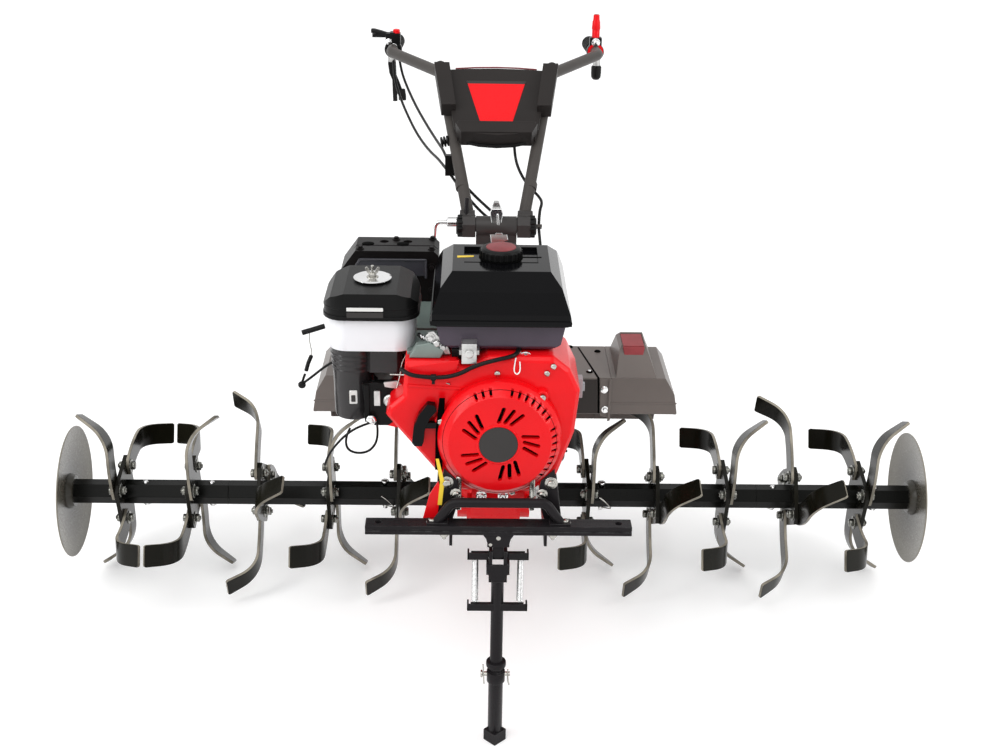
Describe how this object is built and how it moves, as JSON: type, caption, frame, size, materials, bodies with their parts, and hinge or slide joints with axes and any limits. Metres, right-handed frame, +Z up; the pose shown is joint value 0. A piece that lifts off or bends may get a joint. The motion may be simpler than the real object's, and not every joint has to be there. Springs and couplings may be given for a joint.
{
  "type": "walk-behind rotavator",
  "caption": "Walk-behind petrol rotavator with bent tines on a hexagon axle, guard discs, a folding front stand and an adjustable handlebar.",
  "frame": {"origin": "middle of the box's base, on the floor", "axes": "+X along the rotor axle to the viewer's right seen from the front, +Y rearward to the handlebar, +Z up"},
  "size_m": [1.708, 1.5492, 1.0264],
  "materials": {
    "red_paint": "gloss enamel",
    "frame_black": "satin powder coat",
    "tank_black": "high gloss",
    "black_plastic": "moulded",
    "white_plastic": "translucent white",
    "cast_metal": "cast",
    "exhaust_black": "heat-proof satin",
    "fender_grey": "satin taupe grey",
    "handle_grey": "satin grey",
    "grip_rubber": "matt",
    "cable_black": "satin sheath",
    "bare_steel": "machined",
    "tine_paint": "black, steel where lit",
    "disc_paint": "satin olive grey"
  },
  "bodies": {
    "chassis": {"frame_rail_left": "frame_black", "frame_rail_right": "frame_black", "crossbar": "frame_black", "bumper": "frame_black", "stand_bracket": "frame_black", "gearbox_case": "red_paint", "clutch_housing": "cast_metal", "hitch_bracket": "frame_black", "engine_block": "cast_metal", "cylinder_head": "cast_metal", "blower_shroud": "red_paint", "recoil_cover": "red_paint", "starter_handle": "black_plastic", "tank_upper": "tank_black", "tank_lower": "tank_black", "fuel_cap": "black_plastic", "muffler": "exhaust_black", "air_cleaner_cover": "black_plastic", "air_cleaner_bowl": "white_plastic", "air_cleaner_canister": "black_plastic", "carburettor": "cast_metal", "fender_inner_left": "fender_grey", "fender_outer_left": "fender_grey", "fender_inner_right": "fender_grey", "fender_outer_right": "fender_grey", "handle_base": "frame_black"},
    "rotor": {"output_shaft": "bare_steel", "hex_tubes_inner": "frame_black", "hex_tubes_outer": "frame_black", "tine_wheels_left": "tine_paint", "tine_wheels_right": "tine_paint", "guard_discs": "disc_paint"},
    "stand": {"stand_leg": "frame_black", "stand_foot": "frame_black", "stand_springs": "bare_steel"},
    "handle_head": {"swivel_head": "frame_black", "lock_lever": "bare_steel", "throttle_cable_lower": "cable_black"},
    "handlebar": {"handle_yoke": "handle_grey", "handle_tube_left": "handle_grey", "handle_tube_right": "handle_grey", "grips": "grip_rubber", "console": "handle_grey", "lever_left": "bare_steel", "lever_right": "red_paint", "clutch_cables": "cable_black", "throttle_cable_upper": "cable_black", "cable_clip": "cable_black"}
  },
  "joints": [
    {"name": "rotor_spin", "type": "hinge", "parent": "chassis", "child": "rotor", "pos_m": [0, -0.22662, 0.20283], "axis": [1, 0, 0], "continuous": true},
    {"name": "stand_fold", "type": "hinge", "parent": "chassis", "child": "stand", "pos_m": [0, -0.75962, 0.377], "axis": [-1, 0, 0], "range_deg": [0, 90]},
    {"name": "handle_swivel", "type": "hinge", "parent": "chassis", "child": "handle_head", "pos_m": [0, -0.07662, 0.672], "axis": [0, 0, 1], "range_deg": [-30, 30], "deforming": ["throttle_cable_lower"]},
    {"name": "handle_tilt", "type": "hinge", "parent": "handle_head", "child": "handlebar", "pos_m": [0, -0.07662, 0.72], "axis": [1, 0, 0], "range_deg": [-15, 20]}
  ]
}
